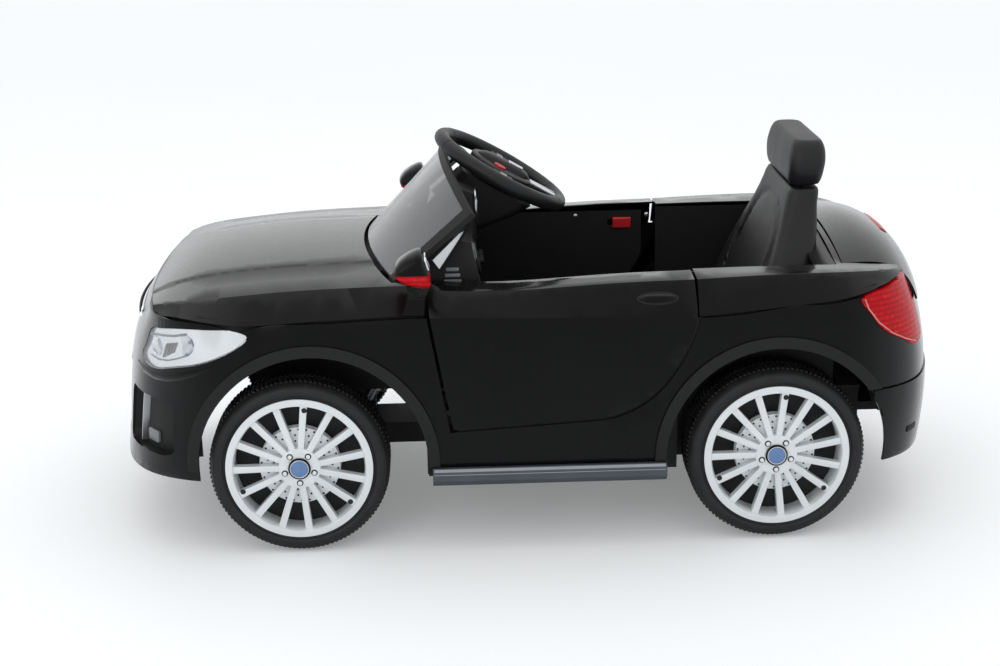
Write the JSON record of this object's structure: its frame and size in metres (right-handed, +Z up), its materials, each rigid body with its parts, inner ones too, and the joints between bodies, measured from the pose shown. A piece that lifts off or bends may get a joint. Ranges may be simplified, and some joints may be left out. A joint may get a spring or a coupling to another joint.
{
  "type": "electric ride-on car",
  "caption": "Open-top electric ride-on toy car for a small child, with opening doors, steered front wheels, a geared rear wheel, a moulded seat and a foot pedal.",
  "frame": {"origin": "on the ground under the middle of the car's length and width", "axes": "+X forward along the car, +Y to the car's left side, +Z up"},
  "size_m": [1.116, 0.574, 0.506],
  "materials": {
    "body_plastic": "polished black moulding",
    "cabin_plastic": "fine matte black",
    "seat_plastic": "satin dark grey moulding",
    "bright_chrome": "bright plated",
    "clear_lens": "clear",
    "smoked_screen": "smoked glossy sheet",
    "red_lens": "clear red lens",
    "red_plastic": "red moulding",
    "mirror_face": "mirror foil",
    "skirt_paint": "dark grey metallic",
    "wheel_silver": "silver paint",
    "cap_blue": "plain grey-blue disc",
    "tyre_plastic": "satin black",
    "steel": "zinc-plated",
    "gear_plastic": "natural nylon",
    "battery_case": "dark grey case"
  },
  "bodies": {
    "car": {"body_shell": "body_plastic", "hood": "body_plastic", "rear_deck": "body_plastic", "trunk_lid": "body_plastic", "rear_bumper": "body_plastic", "grille": "bright_chrome", "nose_trays": "cabin_plastic", "headlight_lenses": "clear_lens", "headlight_reflectors": "bright_chrome", "arch_trims": "cabin_plastic", "tail_lamps": "red_lens", "windshield": "smoked_screen", "windshield_frame": "cabin_plastic", "mirror_left": "body_plastic", "mirror_right": "body_plastic", "mirror_lamps": "red_lens", "mirror_glasses": "mirror_face", "side_skirts": "skirt_paint", "chassis_tub": "cabin_plastic", "cabin_trims": "cabin_plastic", "dashboard": "cabin_plastic", "seat": "seat_plastic", "headrest": "seat_plastic", "battery": "battery_case", "charging_socket": "cabin_plastic", "rear_axle": "steel", "rear_axle_nuts": "steel", "front_axle_beam": "steel", "kingpins": "steel", "gearbox_case": "cabin_plastic", "motor": "steel"},
    "steering": {"steering_column": "steel", "steering_wheel": "seat_plastic"},
    "horn_left": {"horn_button_left": "red_plastic"},
    "horn_right": {"horn_button_right": "red_plastic"},
    "track_rod": {"tie_rod": "steel"},
    "knuckle_l": {"knuckle_left": "steel"},
    "knuckle_r": {"knuckle_right": "steel"},
    "front_left_wheel": {"wheel_fl": "wheel_silver", "tyre_fl": "tyre_plastic", "hub_cap_fl": "cap_blue"},
    "front_right_wheel": {"wheel_fr": "wheel_silver", "tyre_fr": "tyre_plastic", "hub_cap_fr": "cap_blue"},
    "rear_left_wheel": {"wheel_rl": "wheel_silver", "tyre_rl": "tyre_plastic", "hub_cap_rl": "cap_blue", "drive_gear": "gear_plastic"},
    "rear_right_wheel": {"wheel_rr": "wheel_silver", "tyre_rr": "tyre_plastic", "hub_cap_rr": "cap_blue"},
    "pinion": {"motor_pinion": "steel"},
    "left_door": {"door_left": "body_plastic", "door_inner_left": "cabin_plastic"},
    "right_door": {"door_right": "body_plastic", "door_inner_right": "cabin_plastic"},
    "left_latch": {"latch_left": "red_plastic"},
    "right_latch": {"latch_right": "red_plastic"},
    "pedal": {"foot_pedal": "cabin_plastic"},
    "switch": {"direction_switch": "cabin_plastic"}
  },
  "joints": [
    {"name": "steering_turn", "type": "hinge", "parent": "car", "child": "steering", "pos_m": [0.03, 0, 0.45], "axis": [-0.5, 0, 0.866], "range_deg": [-35, 35]},
    {"name": "knuckle_left_turn", "type": "hinge", "parent": "car", "child": "knuckle_l", "pos_m": [0.305, 0.17, 0.117], "axis": [0, 0, 1], "range_deg": [-22, 22]},
    {"name": "knuckle_right_turn", "type": "hinge", "parent": "car", "child": "knuckle_r", "pos_m": [0.305, -0.17, 0.117], "axis": [0, 0, 1], "range_deg": [-22, 22]},
    {"name": "track_rod_slide", "type": "slide", "parent": "car", "child": "track_rod", "axis": [0, 1, 0], "range_m": [-0.0155, 0.0155]},
    {"name": "front_left_spin", "type": "hinge", "parent": "knuckle_l", "child": "front_left_wheel", "pos_m": [0.305, 0.262, 0.117], "axis": [0, 1, 0], "continuous": true},
    {"name": "front_right_spin", "type": "hinge", "parent": "knuckle_r", "child": "front_right_wheel", "pos_m": [0.305, -0.262, 0.117], "axis": [0, 1, 0], "continuous": true},
    {"name": "rear_left_spin", "type": "hinge", "parent": "car", "child": "rear_left_wheel", "pos_m": [-0.315, 0.262, 0.117], "axis": [0, 1, 0], "continuous": true},
    {"name": "rear_right_spin", "type": "hinge", "parent": "car", "child": "rear_right_wheel", "pos_m": [-0.315, -0.262, 0.117], "axis": [0, 1, 0], "continuous": true},
    {"name": "pinion_spin", "type": "hinge", "parent": "car", "child": "pinion", "pos_m": [-0.29, 0.145, 0.117], "axis": [0, 1, 0], "continuous": true},
    {"name": "left_door_open", "type": "hinge", "parent": "car", "child": "left_door", "pos_m": [0.115, 0.259, 0.205], "axis": [0, 0, -1], "range_deg": [0, 60]},
    {"name": "right_door_open", "type": "hinge", "parent": "car", "child": "right_door", "pos_m": [0.115, -0.259, 0.205], "axis": [0, 0, 1], "range_deg": [0, 60]},
    {"name": "left_latch_slide", "type": "slide", "parent": "left_door", "child": "left_latch", "axis": [1, 0, 0], "range_m": [0, 0.012]},
    {"name": "right_latch_slide", "type": "slide", "parent": "right_door", "child": "right_latch", "axis": [1, 0, 0], "range_m": [0, 0.012]},
    {"name": "pedal_press", "type": "hinge", "parent": "car", "child": "pedal", "pos_m": [0.052, -0.08, 0.101], "axis": [0, 1, 0], "range_deg": [0, 12], "stiffness_Nm_per_rad": 1.5, "springref_deg": -11.46},
    {"name": "horn_left_press", "type": "slide", "parent": "steering", "child": "horn_left", "axis": [0.5, 0, -0.866], "range_m": [0, 0.0025], "stiffness_N_per_m": 600, "springref_m": -0.002},
    {"name": "horn_right_press", "type": "slide", "parent": "steering", "child": "horn_right", "axis": [0.5, 0, -0.866], "range_m": [0, 0.0025], "stiffness_N_per_m": 600, "springref_m": -0.002},
    {"name": "switch_rock", "type": "hinge", "parent": "car", "child": "switch", "pos_m": [0.072, -0.12, 0.345], "axis": [0, 1, 0], "range_deg": [-12, 12]}
  ],
  "couplings": [
    {"joint": "knuckle_left_turn", "follows": "steering_turn", "ratio": 0.6},
    {"joint": "knuckle_right_turn", "follows": "steering_turn", "ratio": 0.6},
    {"joint": "track_rod_slide", "follows": "steering_turn", "m_per_rad": 0.02347},
    {"joint": "pinion_spin", "follows": "rear_left_spin", "ratio": -4}
  ]
}
